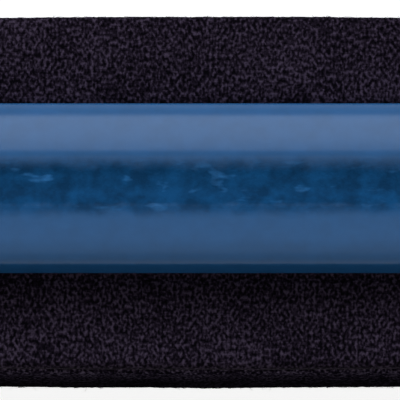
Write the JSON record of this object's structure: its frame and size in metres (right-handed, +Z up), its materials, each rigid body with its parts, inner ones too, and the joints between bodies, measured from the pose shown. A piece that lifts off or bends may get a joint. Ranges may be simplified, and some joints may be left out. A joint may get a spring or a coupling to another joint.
{
  "type": "chalkboard eraser",
  "caption": "Oblong chalkboard eraser: felt strips on edge with dust channels between them, under a backing board, a cover felt and a hollow moulded grip with a finger channel.",
  "frame": {"origin": "middle of the wiping face, on the surface that the eraser stands on", "axes": "+X along the eraser's length, +Y across its width, +Z up from the wiping face through the grip"},
  "size_m": [0.127, 0.0508, 0.0337],
  "materials": {
    "wiping_felt": "pressed wool felt",
    "cover_felt": "pressed wool felt",
    "fibreboard": "pressed, uncoated",
    "hot_melt_glue": "set film",
    "grip_plastic": "moulded, gloss with a matt channel",
    "screw_steel": "zinc plated"
  },
  "bodies": {
    "root": {"wiping_ply_1": "wiping_felt", "wiping_ply_2": "wiping_felt", "wiping_ply_3": "wiping_felt", "wiping_ply_4": "wiping_felt", "wiping_ply_5": "wiping_felt", "wiping_ply_6": "wiping_felt", "wiping_ply_7": "wiping_felt", "wiping_ply_8": "wiping_felt", "wiping_ply_9": "wiping_felt", "spacer_ply_1": "wiping_felt", "spacer_ply_2": "wiping_felt", "spacer_ply_3": "wiping_felt", "spacer_ply_4": "wiping_felt", "spacer_ply_5": "wiping_felt", "spacer_ply_6": "wiping_felt", "spacer_ply_7": "wiping_felt", "spacer_ply_8": "wiping_felt", "ply_adhesive": "hot_melt_glue", "backing_board": "fibreboard", "cover_adhesive": "hot_melt_glue", "cover_felt": "cover_felt", "grip": "grip_plastic", "grip_screws": "screw_steel"}
  },
  "joints": []
}
